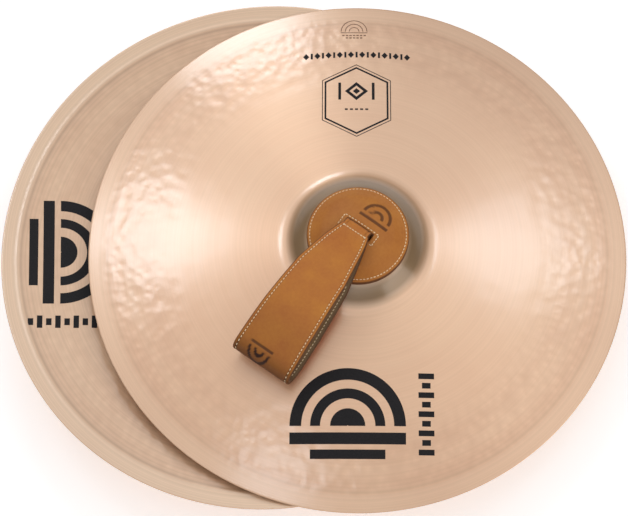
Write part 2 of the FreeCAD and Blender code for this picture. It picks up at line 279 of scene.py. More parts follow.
def srgb(red, green, blue):
    """Linear colour of an sRGB colour given from 0 to 255."""
    channels = [value / 255 for value in (red, green, blue)]
    linear = [c / 12.92 if c <= 0.04045 else ((c + 0.055) / 1.055) ** 2.4 for c in channels]
    return (*linear, 1.0)


# Tints of the bronze, and the radii in metres between which they come and go.
# The bell tint is a painted dark reflection on the bell's steep side round the pad.
BELL_PAINTED_REFLECTION = srgb(124, 98, 56)
# The next tint is painted shade in the hammer dents, and also darkens the plate towards the rim.
DENT_SHADE_RIM_BRONZE = srgb(168, 116, 86)
LINE_BRONZE = srgb(168, 130, 98)
RIM_BRONZE = srgb(252, 222, 190)
BELL_REFLECTION_RING = (0.036, 0.046, 0.053, 0.061)
BEATEN_RING = (0.150, 0.180, 0.208, 0.220)
RIM_LINE = (0.2096, 0.2118, 0.2124, 0.2140)
LINES_FROM, LINES_TO = 0.190, 0.215
# Radii between which the plate darkens towards the rim.
DARKENING_FROM, DARKENING_TO = 0.200, 0.216
RIM_FROM, RIM_TO = 0.2136, 0.2150
BRONZE_ROUGHNESS = 0.42
WORN_RANGE = 0.02


def bronze_material(name, warm, deep, metallic, drawn, turning):
    """Lathe-turned bronze: painted dark reflection round the bell; beaten, with painted shade in the dents,
    darker and lined near a pale rim.
    """
    n = Nodes(name)
    place = n.position()
    parts = n.add("ShaderNodeSeparateXYZ", {0: place})
    x, y = parts.outputs[0], parts.outputs[1]
    radius = n.math("SQRT", n.math("ADD", n.times(x, x), n.times(y, y)))
    bands = n.noise_1d(radius, 70.0, 3.0)
    blotches = n.noise(place, 9.0, 3.0)
    tint = n.weighted(bands, 0.3, blotches, 0.7)
    colour = n.mix(n.spread(tint, 0.35, 0.65), deep, warm)
    # Painted dark reflection on the bell's steep side round the pad.
    colour = n.mix(n.ring(radius, BELL_REFLECTION_RING, 0.8), colour, BELL_PAINTED_REFLECTION)
    grooves = n.noise_1d(radius, 1500.0, 2.0)
    turns = n.noise_1d(radius, 520.0, 1.0)
    blow_inputs = {"Vector": place, "Scale": 135.0, "Smoothness": 0.7}
    blows = n.add("ShaderNodeTexVoronoi", blow_inputs, feature="SMOOTH_F1")
    dents = n.times(blows.outputs["Distance"], n.ring(radius, BEATEN_RING))
    # Painted shade at the edges of the hammer dents, plus a darkening towards the rim.
    dent_shade_and_rim_darkening = n.math("ADD", n.spread(dents, 0.05, 0.65, 0.0, 0.13),
                    n.spread(radius, DARKENING_FROM, DARKENING_TO, 0.0, 0.09))
    colour = n.mix(dent_shade_and_rim_darkening, colour, DENT_SHADE_RIM_BRONZE)
    near_rim = n.spread(radius, LINES_FROM, LINES_TO, 1.0, 2.2)
    lines = n.times(n.spread(turns, 0.38, 0.62, 0.0, 0.4 * turning), near_rim)
    rim_line = n.times(n.ring(radius, RIM_LINE), turning * 1.6)
    colour = n.mix(n.math("MAXIMUM", lines, rim_line), colour, LINE_BRONZE)
    colour = n.mix(n.spread(radius, RIM_FROM, RIM_TO, 0.0, turning), colour, RIM_BRONZE)
    fine = n.relief(grooves, 0.00003, 0.3)
    turned_down = n.relief(turns, 0.00003, turning, fine)
    normal = n.relief(dents, 0.00019, 1.0, turned_down)
    worn = n.spread(n.math("ADD", bands, n.times(grooves, 0.4)), 0.4, 1.0,
                    BRONZE_ROUGHNESS - WORN_RANGE, BRONZE_ROUGHNESS + WORN_RANGE)
    tangent = n.add("ShaderNodeTangent", direction_type="RADIAL", axis="Z")
    return n.set(Base_Color=colour, Metallic=metallic, Roughness=worn, Normal=normal,
                 Coat_Weight=0.8, Coat_IOR=2.1, Coat_Roughness=0.17, Coat_Normal=normal,
                 Anisotropic=drawn, Anisotropic_Rotation=0.25, Tangent=tangent.outputs[0])


def leather_material(name, pale, dark, edge):
    """Smooth vegetable-tanned leather; the shade attribute darkens edges and marks, and carries painted
    shade at folds and round the slot.
    """
    n = Nodes(name)
    place = n.position()
    grain = n.noise(place, 1400.0, 4.0, 0.6)
    pores = n.noise(place, 420.0, 3.0)
    patches = n.noise(place, 45.0, 3.0)
    tint = n.weighted(patches, 0.7, pores, 0.3)
    colour = n.mix(n.spread(tint, 0.3, 0.75), pale, dark)
    shade = n.add("ShaderNodeAttribute", attribute_name="shade")
    colour = n.mix(n.spread(shade.outputs["Fac"], 0.0, 1.0), colour, edge)
    wrinkles = n.relief(pores, 0.00025, 0.35)
    normal = n.relief(grain, 0.0001, 0.35, wrinkles)
    return n.set(Base_Color=colour, Roughness=n.spread(pores, 0.3, 0.7, 0.42, 0.56), Normal=normal,
                 Specular_IOR_Level=0.3)


def felt_material():
    n = Nodes("felt")
    fibres = n.noise(n.position(), 900.0, 6.0, 0.7)
    colour = n.mix(fibres, srgb(196, 190, 178), srgb(232, 228, 218))
    return n.set(Base_Color=colour, Roughness=0.95, Sheen_Weight=0.3, Normal=n.relief(fibres, 0.0006, 0.7))


def thread_material():
    n = Nodes("thread")
    fibres = n.noise(n.position(), 1600.0, 3.0)
    colour = n.mix(fibres, srgb(248, 216, 168), srgb(255, 236, 198))
    return n.set(Base_Color=colour, Roughness=0.7, Normal=n.relief(fibres, 0.0002, 0.5))


def ink_material(name, colour, pale, roughness):
    n = Nodes(name)
    specks = n.noise(n.position(), 800.0, 2.0)
    return n.set(Base_Color=n.mix(n.spread(specks, 0.3, 0.8), colour, pale), Roughness=roughness,
                 Specular_IOR_Level=0.25, Normal=n.relief(specks, 0.00005, 0.3))


BRONZE_OUTSIDE = bronze_material("bronze_outside", srgb(246, 201, 163), srgb(239, 190, 152), 0.85, 0.7, 0.12)
BRONZE_INSIDE = bronze_material("bronze_inside", srgb(240, 198, 160), srgb(231, 186, 148), 0.45, 0.5, 0.3)
PAD_LEATHER = leather_material("pad_leather", srgb(200, 128, 52), srgb(178, 104, 44), srgb(66, 30, 12))
STRAP_LEATHER = leather_material("strap_leather", srgb(208, 132, 50), srgb(188, 108, 48), srgb(52, 24, 12))
LINING_LEATHER = leather_material("lining_leather", srgb(176, 138, 96), srgb(150, 116, 76), srgb(60, 38, 20))
LACE_LEATHER = leather_material("lace_leather", srgb(176, 116, 66), srgb(146, 92, 48), srgb(66, 36, 18))
FELT = felt_material()
THREAD = thread_material()
BLACK_INK = ink_material("black_ink", srgb(20, 17, 19), srgb(34, 29, 31), 0.55)
BROWN_INK = ink_material("brown_ink", srgb(120, 84, 62), srgb(150, 110, 84), 0.45)


# ---- cymbal plates
def plate_level(radius, depth):
    """Height and slope of the plate's surface this deep under its outer one."""
    dome, cove, bow = BELL_DOME_RADIUS - depth, COVE_BEND + depth, BOW_BEND - depth
    bell_limit = dome * sin(BELL_SIDE_SLOPE)
    cove_limit = COVE_CENTRE[0] - cove * sin(BOW_START_SLOPE)
    on_bell, on_cove = radius <= bell_limit, radius <= cove_limit
    sine = np.where(on_bell, radius / dome,
                    np.where(on_cove, (COVE_CENTRE[0] - radius) / cove, (radius - BOW_CENTRE[0]) / bow))
    slope = np.arcsin(np.clip(sine, -1, 1))
    level = np.where(on_bell, BELL_CENTRE_Z + dome * np.cos(slope),
                     np.where(on_cove, COVE_CENTRE[1] - cove * np.cos(slope),
                              BOW_CENTRE[1] + bow * np.cos(slope)))
    return level, slope


HAMMER_RINGS = (118.0, 139.0, 160.0, 171.0, 182.0, 193.0, 203.5)
BEATEN_FROM = 150.0


def hammer_marks(rng):
    """Rows of hammer blows round the bow, faint and sparse inwards: x, y, size and depth."""
    marks = []
    for row, ring in enumerate(HAMMER_RINGS):
        pitch, depth = (19.0, 0.05) if ring < BEATEN_FROM else (13.0, 0.14)
        count = round(2 * math.pi * ring / pitch)
        for index in range(count):
            angle = 2 * math.pi * (index + 0.5 * (row % 2) + rng.uniform(-0.22, 0.22)) / count
            place = ring + rng.uniform(-2.5, 2.5)
            marks.append((place * math.cos(angle), place * math.sin(angle),
                          rng.uniform(5.0, 7.5), depth * rng.uniform(0.3, 1.25)))
    return marks


def plate_relief(x, y, marks):
    """How far the plate stands off its smooth section: hammer blows and a slight waviness."""
    radius = np.hypot(x, y)
    angle = np.arctan2(y, x)
    relief = 0.006 * np.sin(radius / 7.3) * smoothstep(radius, 75, 110)
    relief += 0.03 * np.sin(3 * angle + radius / 31) * smoothstep(radius, 80, 140)
    for mark_x, mark_y, size, depth in marks:
        near = np.abs(x - mark_x) < 3 * size
        distance = (x[near] - mark_x) ** 2 + (y[near] - mark_y) ** 2
        relief[near] -= depth * np.exp(-distance / size ** 2)
    return relief * (1 - smoothstep(radius, RIM_RADIUS - 12, RIM_RADIUS - 3))


def plate_surface_point(x, y, inside, marks, lift):
    """Points on the plate's outer or inner face, this far off it, from their plan places."""
    radius = np.hypot(x, y)
    level, slope = plate_level(radius, PLATE_THICKNESS if inside else 0.0)
    offset = plate_relief(x, y, marks) + (-lift if inside else lift)
    outward = np.divide(offset * np.sin(slope), np.maximum(radius, 1e-6))
    return np.stack([x * (1 + outward), y * (1 + outward), level + offset * np.cos(slope)], axis=-1)


PLATE_COLUMNS = 400
BEAD_RADIUS = RIM_RADIUS - 13.5
BEAD_WIDTH = 1.3
BEAD_HEIGHT = 0.5
EDGE_ROWS = 5


def make_plate(name, place, marks):
    radii = np.concatenate([
        np.linspace(HOLE_RADIUS, BELL_SIDE_RADIUS, 14, endpoint=False),
        np.linspace(BELL_SIDE_RADIUS, COVE_RADIUS, 8, endpoint=False),
        np.linspace(COVE_RADIUS, 110, 18, endpoint=False),
        np.linspace(110, BOW_END - 4, 70, endpoint=False),
        np.linspace(BOW_END - 4, BOW_END - 0.25, 5),
    ])
    angles = ring_angles(PLATE_COLUMNS)
    radius, angle = np.meshgrid(radii, angles, indexing="ij")
    x, y = radius * np.cos(angle), radius * np.sin(angle)
    outer = plate_surface_point(x, y, False, marks, 0.0)
    inner = plate_surface_point(x, y, True, marks, 0.0)
    inner[..., 2] -= bump(radius, BEAD_RADIUS, BEAD_WIDTH) * BEAD_HEIGHT
    shares = np.linspace(0, 1, EDGE_ROWS + 2)[1:-1]
    edge = []
    for share in shares:
        row = outer[-1] * (1 - share) + inner[-1] * share
        bulge = EDGE_ROUND * math.sin(math.pi * share) + 0.2
        row = row + np.stack([np.cos(angles), np.sin(angles), 0 * angles], axis=-1) * bulge
        edge.append(row)
    rows = np.concatenate([outer, np.array(edge), inner[::-1]])
    faces = grid_quads(rows.shape[0], PLATE_COLUMNS, True, True)
    piece = make_piece(name + "_plate", rows.reshape(-1, 3), faces, place, BRONZE_OUTSIDE,
                       name + "_plate", "bronze", [name + "_cymbal"])
    piece.data.materials.append(BRONZE_INSIDE)
    first_inside = len(outer) + len(shares)
    slots = [1 if index // PLATE_COLUMNS >= first_inside else 0 for index in range(len(faces))]
    piece.data.polygons.foreach_set("material_index", slots)


# ---- camera, light and floor
def make_camera():
    """Looks down on the pair from in front, a little turned and rolled."""
    target = Vector((0.0027, -0.0106, 0.070))
    azimuth, elevation, roll, distance = 11.83, 69.49, -9.33, 2.0
    away = Vector((sin(azimuth) * cos(elevation), -cos(azimuth) * cos(elevation), sin(elevation)))
    right = (-away).cross(Vector((0, 0, 1))).normalized()
    up = right.cross(-away)
    side = right * cos(roll) + up * sin(roll)
    top = up * cos(roll) - right * sin(roll)
    data = bpy.data.cameras.new("camera")
    data.lens = 135.44
    data.sensor_width = 36
    data.clip_end = 20
    camera = add_object("camera", data)
    camera.matrix_world = axes_matrix(side, top, away, target + away * distance)
    bpy.context.scene.camera = camera


LIGHT_TARGET = Vector((0, 0, 0.05))
COOL_WHITE = (0.85, 0.97, 1.08)
PLAIN_WHITE = (1, 1, 1)
# Softboxes: name, place and width in metres, power in watts, colour.
LIGHTS = [
    ("left_box", (-0.70, 0.70, 1.86), 0.4, 2.0, COOL_WHITE),
    ("right_box", (0.80, 0.72, 1.83), 0.4, 1.3, COOL_WHITE),
    ("back_box", (-0.40, 1.60, 1.46), 0.5, 3.4, COOL_WHITE),
    ("front_box", (-0.16, -0.30, 2.17), 0.3, 0.7, COOL_WHITE),
    ("low_box", (1.75, -0.95, 0.80), 1.3, 5.0, PLAIN_WHITE),
]
# The world's grey by the height of the direction: pale low down, then dark, then pale above.
SKY_LEVELS = [(0.12, 0.70), (0.30, 0.06), (0.40, 0.08), (0.80, 0.90), (0.91, 0.86), (1.0, 0.62)]
FLOOR_HALF = 6.0
FLOOR_LEVEL = -0.0005


def make_light(name, place, width, power, colour):
    data = bpy.data.lights.new(name, "AREA")
    data.shape = "RECTANGLE"
    data.size = width
    data.size_y = width
    data.energy = power
    data.color = colour
    light = add_object(name, data)
    light.location = place
    light.rotation_euler = (LIGHT_TARGET - Vector(place)).to_track_quat("-Z", "Y").to_euler()


def make_floor():
    mesh = bpy.data.meshes.new("floor")
    corners = [(x * FLOOR_HALF, y * FLOOR_HALF, 0) for x, y in ((-1, -1), (1, -1), (1, 1), (-1, 1))]
    mesh.from_pydata(corners, [], [(0, 1, 2, 3)])
    n = Nodes("floor")
    specks = n.noise(n.position(), 3.0, 2.0)
    mesh.materials.append(n.set(Base_Color=n.mix(specks, srgb(250, 250, 250), srgb(255, 255, 255)),
                                Roughness=0.9, Emission_Color=(1.0, 1.0, 1.0, 1.0), Emission_Strength=0.35))
    floor = add_object("floor", mesh)
    floor.location.z = FLOOR_LEVEL


def make_studio():
    world = bpy.data.worlds.new("studio")
    bpy.context.scene.world = world
    world.use_nodes = True
    tree = world.node_tree
    background = tree.nodes["Background"]
    direction = tree.nodes.new("ShaderNodeTexCoord")
    parts = tree.nodes.new("ShaderNodeSeparateXYZ")
    ramp = tree.nodes.new("ShaderNodeValToRGB")
    ramp.color_ramp.interpolation = "EASE"
    for index, (height, level) in enumerate(SKY_LEVELS):
        stop = ramp.color_ramp.elements[index] if index < 2 else ramp.color_ramp.elements.new(height)
        stop.position = height
        stop.color = (level, level, level, 1.0)
    tree.links.new(direction.outputs["Generated"], parts.inputs[0])
    tree.links.new(parts.outputs["Z"], ramp.inputs["Fac"])
    tree.links.new(ramp.outputs["Color"], background.inputs["Color"])
    background.inputs["Strength"].default_value = 1.0
    bpy.context.scene.view_settings.view_transform = "Standard"
    for light in LIGHTS:
        make_light(*light)


# ---- bell pads
PAD_BASE = BELL_DOME_RADIUS + PAD_GAP
BACKING_TOP = PAD_BASE + 1.5
FELT_TOP = BACKING_TOP + 3.0
COVER_TOP = PAD_BASE + PAD_THICKNESS
PAD_SEAM_RADIUS = PAD_RADIUS - 2.4
SLOT_HALF = (3.5, 13.0)
SLOT_SEAM_HALF = (5.5, 17.0)
STITCH_PITCH = 3.0
COVER_COLUMNS = 432
COVER_FOOT = BACKING_TOP + 0.05
COVER_SIDE = [(BACKING_TOP + 2.2, 0.12), (BACKING_TOP + 1.4, 0.12), (BACKING_TOP + 0.6, 0.0),
              (COVER_FOOT, -0.3)]


def dome_points(x, y, dome):
    """Points with these plan places on a dome about the bell's centre."""
    return np.stack([x, y, BELL_CENTRE_Z + np.sqrt(dome ** 2 - x ** 2 - y ** 2)], axis=-1)


def box_distance(x, y, half):
    """Distance outside a rectangle about the origin, negative inside."""
    over_x, over_y = np.abs(x) - half[0], np.abs(y) - half[1]
    outside = np.hypot(np.maximum(over_x, 0), np.maximum(over_y, 0))
    return outside + np.minimum(np.maximum(over_x, over_y), 0)


def sign_pattern(x, y, size):
    """Share 0 to 1 inside a plain pressed sign: two nested arches over a bar."""
    radius = np.hypot(x, y)
    stroke = 0.13 * size
    arches = np.zeros_like(radius)
    for ring in (0.26 * size, 0.62 * size):
        arches = np.maximum(arches, 1 - smoothstep(np.abs(radius - ring), stroke * 0.4, stroke * 0.7))
    arches = arches * smoothstep(y, -0.5, 0.5)
    bar = 1 - smoothstep(np.abs(y + 0.22 * size), stroke * 0.4, stroke * 0.7)
    return np.maximum(arches, bar * (1 - smoothstep(np.abs(x), 0.7 * size, 0.75 * size)))


def cover_dome(x, y):
    """Dome radius of the cover's upper face: crown, pressed seams, pressed sign, soft edge."""
    radius = np.hypot(x, y)
    dome = COVER_TOP - (COVER_TOP - PAD_BASE - PAD_EDGE_THICKNESS) * smoothstep(radius, 30.0, 42.0)
    dome -= 0.45 * bump(radius, PAD_SEAM_RADIUS, 0.8)
    dome -= 0.30 * bump(box_distance(x, y, SLOT_SEAM_HALF), 0.0, 0.8)
    dome -= 0.9 * smoothstep(radius, PAD_RADIUS - 1.2, PAD_RADIUS)
    dome -= 0.5 * (1 - smoothstep(box_distance(x, y, SLOT_HALF), 0.0, 1.0))
    dome -= 0.35 * pad_sign(x, y)
    return dome


def pad_sign(x, y):
    """The pressed sign beside the slot, on the side away from the strap."""
    return sign_pattern(y - 6.0, -(x + 17.5), 19.0)


def superellipse(angles, half, power):
    cosine, sine = np.cos(angles), np.sin(angles)
    return (np.sign(cosine) * np.abs(cosine) ** (2 / power) * half[0],
            np.sign(sine) * np.abs(sine) ** (2 / power) * half[1])


def make_cover(name, place, body):
    angles = ring_angles(COVER_COLUMNS)
    slot_x, slot_y = superellipse(angles, SLOT_HALF, 8.0)
    rim_x, rim_y = PAD_RADIUS * np.cos(angles), PAD_RADIUS * np.sin(angles)
    shares = np.concatenate([np.linspace(0, 0.06, 4, endpoint=False),
                             np.linspace(0.06, 0.9, 56, endpoint=False), np.linspace(0.9, 1.0, 14)])
    rows, tint = [], []
    for share in shares:
        x, y = slot_x * (1 - share) + rim_x * share, slot_y * (1 - share) + rim_y * share
        rows.append(dome_points(x, y, cover_dome(x, y)))
        edge = 0.75 * smoothstep(np.hypot(x, y), PAD_RADIUS - 0.9, PAD_RADIUS - 0.1)
        # Painted shade on the cover round the slot's mouth.
        slot_shade = 0.8 * (1 - smoothstep(box_distance(x, y, SLOT_HALF), 0.1, 1.2))
        tint.append(np.maximum(np.maximum(edge, slot_shade), 0.75 * pad_sign(x, y)))
    for dome, bulge in COVER_SIDE:
        factor = 1 + bulge / PAD_RADIUS
        rows.append(dome_points(rim_x * factor, rim_y * factor, dome))
        tint.append(np.full(COVER_COLUMNS, 0.85))
    roof = FELT_TOP + 0.05
    for share, dome in ((0.94, COVER_FOOT), (0.8, roof), (0.4, roof), (0.0, roof)):
        x, y = slot_x * (1 - share) + rim_x * share, slot_y * (1 - share) + rim_y * share
        rows.append(dome_points(x, y, dome))
        tint.append(np.full(COVER_COLUMNS, 0.5))
    points = np.concatenate(rows)
    faces = grid_quads(len(rows), COVER_COLUMNS, True, True)
    piece = make_piece(name + "_pad_leather", points, faces, place, PAD_LEATHER, body, "pad_leather",
                       [name + "_pad_cover"], np.concatenate(tint))


def dome_ring(radii_and_domes, columns):
    """Closed ring whose section visits these places, each a plan radius and a dome radius."""
    angles = ring_angles(columns)
    rows = [dome_points(radius * np.cos(angles), radius * np.sin(angles), dome)
            for radius, dome in radii_and_domes]
    return np.concatenate(rows), grid_quads(len(rows), columns, True, True)


def make_pad_layers(name, place, body):
    top = BACKING_TOP - 0.02
    backing = [(10, PAD_BASE + 0.3), (10.3, PAD_BASE), (20, PAD_BASE), (32, PAD_BASE), (42.3, PAD_BASE),
               (PAD_RADIUS, PAD_BASE + 0.3), (PAD_RADIUS, BACKING_TOP - 0.3), (42.3, top), (32, top),
               (20, top), (10.3, top), (10, BACKING_TOP - 0.3)]
    points, faces = dome_ring(backing, 192)
    radius = np.hypot(points[:, 0], points[:, 1])
    make_piece(name + "_pad_base_leather", points, faces, place, PAD_LEATHER, body, "pad_leather",
               [name + "_pad_backing"], 0.8 * smoothstep(radius, PAD_RADIUS - 1, PAD_RADIUS))
    felt = [(14, BACKING_TOP + 0.4), (14.4, BACKING_TOP), (26, BACKING_TOP), (38.4, BACKING_TOP),
            (38.8, BACKING_TOP + 0.4), (36, FELT_TOP - 1.2), (33.6, FELT_TOP), (26, FELT_TOP),
            (14.4, FELT_TOP), (14, FELT_TOP - 0.4)]
    points, faces = dome_ring(felt, 160)
    piece = make_piece(name + "_pad_core_felt", points, faces, place, FELT, body, "felt",
                       [name + "_pad_felt"])


# ---- stitches
def stitch_shape():
    """One stitch of thick thread, lying along X, a little sunk at both ends."""
    rings, corners, points = 7, 6, []
    for step in range(rings):
        share = step / (rings - 1)
        x = (share - 0.5) * 2.3
        swell = math.sqrt(max(0.0, 1 - (2 * share - 1) ** 4)) * 0.85 + 0.15
        for corner in range(corners):
            angle = math.pi * 2 * corner / corners
            points.append((x, 0.40 * swell * math.cos(angle),
                           0.28 * swell * math.sin(angle) + 0.10 - 0.35 * (2 * share - 1) ** 4))
    return np.array(points), tube_faces(rings, corners)


def stitches(places):
    """Stitches at (point, direction, outward) places, with a little unevenness."""
    shape, faces = stitch_shape()
    rng = random.Random(SEED)
    parts = []
    for point, direction, outward in places:
        direction = direction / np.linalg.norm(direction)
        side = np.cross(outward, direction)
        side = side / np.linalg.norm(side)
        up = np.cross(direction, side)
        direction = direction + side * rng.uniform(-0.07, 0.07)
        turned = np.stack([direction, side * rng.uniform(0.92, 1.08), up])
        parts.append((shape @ turned + point, faces))
    return joined(parts)


def pad_stitch(x, y, along_x, along_y):
    """Place of one stitch on the cover, running in this direction."""
    x, y = np.array(x), np.array(y)
    point = dome_points(x, y, cover_dome(x, y))
    return point, np.array([along_x, along_y, 0.0]), point - np.array([0, 0, BELL_CENTRE_Z])


def make_pad_stitches(name, place, body):
    places = []
    count = round(2 * math.pi * PAD_SEAM_RADIUS / STITCH_PITCH)
    for index in range(count):
        angle = 2 * math.pi * index / count
        x, y = PAD_SEAM_RADIUS * math.cos(angle), PAD_SEAM_RADIUS * math.sin(angle)
        places.append(pad_stitch(x, y, -y, x))
    points, faces = stitches(places)
    make_piece(name + "_pad_ring_stitches", points, faces, place, THREAD, body, "thread",
               [name + "_pad_edge_thread"])
    places = []
    half_x, half_y = SLOT_SEAM_HALF
    corners = [(half_x, -half_y), (half_x, half_y), (-half_x, half_y), (-half_x, -half_y)]
    for start, end in zip(corners, corners[1:] + corners[:1]):
        run = math.hypot(end[0] - start[0], end[1] - start[1])
        count = round(run / STITCH_PITCH)
        for index in range(count):
            share = (index + 0.5) / count
            x, y = (a + (b - a) * share for a, b in zip(start, end))
            places.append(pad_stitch(x, y, end[0] - start[0], end[1] - start[1]))
    points, faces = stitches(places)
    make_piece(name + "_pad_slot_stitches", points, faces, place, THREAD, body, "thread",
               [name + "_pad_slot_thread"])


# ---- hand straps
# Side view of a loop: u runs along the strap from its swing axis, w away from the cymbal.
# The path is the gap between the two layers, out of the slot, round the loop and back.
SLOT_BEND = 4.5
SLOT_DEPTH = 7.4
LINING_THICKNESS = 1.3
STRAP_SEAM_INSET = 3.0
CROSS_SEAM_PLACE = 6.0
CROSS_STITCHES = 8
LINING_SEAM_START = 45.0
SEAM_HEIGHT = STRAP_THICKNESS - 0.38
CROSS_HEIGHT = STRAP_THICKNESS + 0.05
LINING_SEAM_HEIGHT = 0.1
PATH_STEP = 0.25
ALONG_Y = np.array([0.0, 1.0, 0.0])
HEADING_BLUR = 20
BEND_START = 1.0
BEND_END = 13.0
HALF_TURN_X = Matrix.Rotation(math.pi, 4, "X")
# Each strap: its loop, how its side view is turned, its skew and the side its slot is on.
STRAPS = {"upper": (UPPER_LOOP, Matrix.Identity(4), 1.5, 1), "lower": (LOWER_LOOP, HALF_TURN_X, 0.0, -1)}


def loop_path(loop, slot_side):
    """Runs of the loop as (length, turn in degrees), out of the slot, round and back into it."""
    rise, fall, droop = loop["rise"], loop["fall"], loop["droop"]
    lift, wrap = loop["rise_radius"], loop["droop_radius"]
    along = lift * sin(rise) - FOLD_RADIUS * (sin(fall) + sin(droop)) - wrap * sin(droop)
    up = lift * (1 - cos(rise)) - FOLD_RADIUS * (cos(droop) + cos(fall)) + wrap * (1 - cos(droop))
    run, climb = sin(rise) + sin(fall), cos(fall) - cos(rise)
    bend = -(up * cos(droop) + along * sin(droop)) / (climb * cos(droop) + run * sin(droop))
    straight = (along + bend * run) / cos(droop)
    fit = 1 - SLOT_BEND / STRAP_HALF_WIDTHS[-1][0]
    fold_turn = 180 + droop - fall
    arcs = [(SLOT_DEPTH, 0.0), (SLOT_BEND * math.pi / 2, -90.0 * slot_side),
            (fit * lift * math.radians(rise), rise),
            (fit * bend * math.radians(rise + fall), -(rise + fall)),
            (fit * FOLD_RADIUS * math.radians(fold_turn), -fold_turn),
            (fit * straight, 0.0),
            (fit * wrap * math.radians(droop), droop),
            (SLOT_BEND * math.pi / 2, 90.0 * slot_side), (SLOT_DEPTH, 0.0)]
    return [arc for arc in arcs if arc[0] > 0]


class StrapLine:
    """The loop's path, sampled finely, with what the strap does along it.

    The slot is below the loop where slot_side is 1, and above it where it is -1.
    """

    def __init__(self, loop, skew, slot_side):
        u, w, heading = 0.0, -slot_side * (SLOT_BEND + SLOT_DEPTH), 90.0 * slot_side
        samples = [(u, w, heading)]
        for length, turn in loop_path(loop, slot_side):
            count = max(1, round(length / PATH_STEP))
            for _ in range(count):
                middle = heading + turn / count / 2
                u += length / count * cos(middle)
                w += length / count * sin(middle)
                heading += turn / count
                samples.append((u, w, heading))
        data = np.array(samples)
        steps = np.hypot(np.diff(data[:, 0]), np.diff(data[:, 1]))
        self.place = np.concatenate([[0], np.cumsum(steps)])
        window = np.hanning(2 * HEADING_BLUR + 1)
        kernel = window / window.sum()
        padded = np.pad(data[:, 2], HEADING_BLUR, mode="edge")
        self.u, self.w, self.heading = data[:, 0], data[:, 1], np.convolve(padded, kernel, "valid")
        self.length = self.place[-1]
        self.skew = skew
        self.fold = self.place[int(np.argmax(self.u))]

    def at(self, place):
        return (np.interp(place, self.place, self.u), np.interp(place, self.place, self.w),
                np.interp(place, self.place, self.heading))

    def half_width(self, u):
        stations, widths = zip(*STRAP_HALF_WIDTHS)
        base = np.interp(u, stations, widths)
        return np.where(u < SLOT_BEND, 12.2, base - 0.45 * (1 - smoothstep(u, SLOT_BEND, 12)))

    def surface(self, place, v, height):
        """Points at this place along the path, v across it and height out from the gap."""
        u, w, heading = self.at(place)
        thin = 0.64 + 0.36 * smoothstep(u, 6.0, 24.0)
        under = smoothstep(place, self.fold - 6, self.fold + 26)
        shift = self.skew * under * smoothstep(u, 8, 60) * (1 - 0.3 * smoothstep(u, 80, 130))
        tilt = np.radians(heading)
        height = height * thin
        return np.stack([u - np.sin(tilt) * height, v + shift, w + np.cos(tilt) * height], axis=-1)


TOP_INSETS = (0.0, 0.12, 0.45, 1.0, 1.9, 2.4, 2.7, 3.0, 3.3, 3.6, 4.2)
TOP_DROPS = (0.85, 0.42, 0.12, 0.0, 0.0, 0.14, 0.30, 0.38, 0.30, 0.14, 0.0)


def layer_section(half, low, high, groove):
    """One ring of a strap layer: (v, height) pairs, with round edges and pressed seams."""
    left = [(-half + inset, high - drop * (groove or inset < 1.5))
            for inset, drop in zip(TOP_INSETS, TOP_DROPS)]
    middle = [(share * (half - TOP_INSETS[-1]), high + 0.12 * (1 - share ** 2))
              for share in np.linspace(-1, 1, 45 if groove else 11)[1:-1]]
    right = [(-v, height) for v, height in reversed(left)]
    bottom = [(half - 0.1, low + 0.35), (half - 0.5, low)]
    bottom += [(share * (half - 0.5), low) for share in np.linspace(1, -1, 9)[1:-1]]
    bottom += [(-half + 0.5, low), (-half + 0.1, low + 0.35)]
    return left + middle + right + bottom


def layer_mesh(line, low, high, narrower, groove):
    """A closed strap layer along the whole path, with its shade."""
    sign_place = line.fold - 10.0
    stations = np.concatenate([np.arange(0, 30, 0.8), np.arange(30, sign_place - 12, 1.5),
                               np.arange(sign_place - 12, sign_place + 14, 0.6),
                               np.arange(sign_place + 14, line.length - 30, 1.5),
                               np.arange(line.length - 30, line.length, 0.8), [line.length]])
    rows, tint = [], []
    for place in stations:
        u = float(line.at(place)[0])
        half = float(line.half_width(u)) - narrower
        ring = np.array(layer_section(half, low, high, groove))
        sign = sign_pattern(ring[:, 0] + 5.0, place - sign_place, 15.0) * (ring[:, 1] > 3) * groove
        rows.append(line.surface(place, ring[:, 0], ring[:, 1] - 0.3 * sign))
        inset = half - np.abs(ring[:, 0])
        edge = 0.85 * (1 - smoothstep(inset, 0.2, 1.1))
        # Painted shade where the upper layer turns down into the fold, and painted shade on the strap where
        # it goes into the slot.
        fold_and_slot_shade = 0.72 * bump(place, line.fold + 2, 12.0) + 0.22 * bump(place, line.fold - 26, 26.0)
        fold_and_slot_shade += 0.9 * (1 - smoothstep(min(place, line.length - place), 8.5, 11.5))
        pressed = 0.25 * bump(inset, 3.0, 0.7) * groove
        tint.append(np.clip(np.maximum(edge, fold_and_slot_shade + pressed + 0.5 * sign), 0, 1))
    points, columns = np.concatenate(rows), rows[0].shape[0]
    return points, tube_faces(len(rows), columns), np.concatenate(tint)


def strap_stitch(line, place, v, height, face):
    """Place of one stitch along the strap, on its outer face or, when face is -1, its lining."""
    ahead, behind = (line.surface(place + step, v, height) for step in (0.4, -0.4))
    point = line.surface(place, v, height)
    return point, ahead - behind, line.surface(place, v, height + face) - point


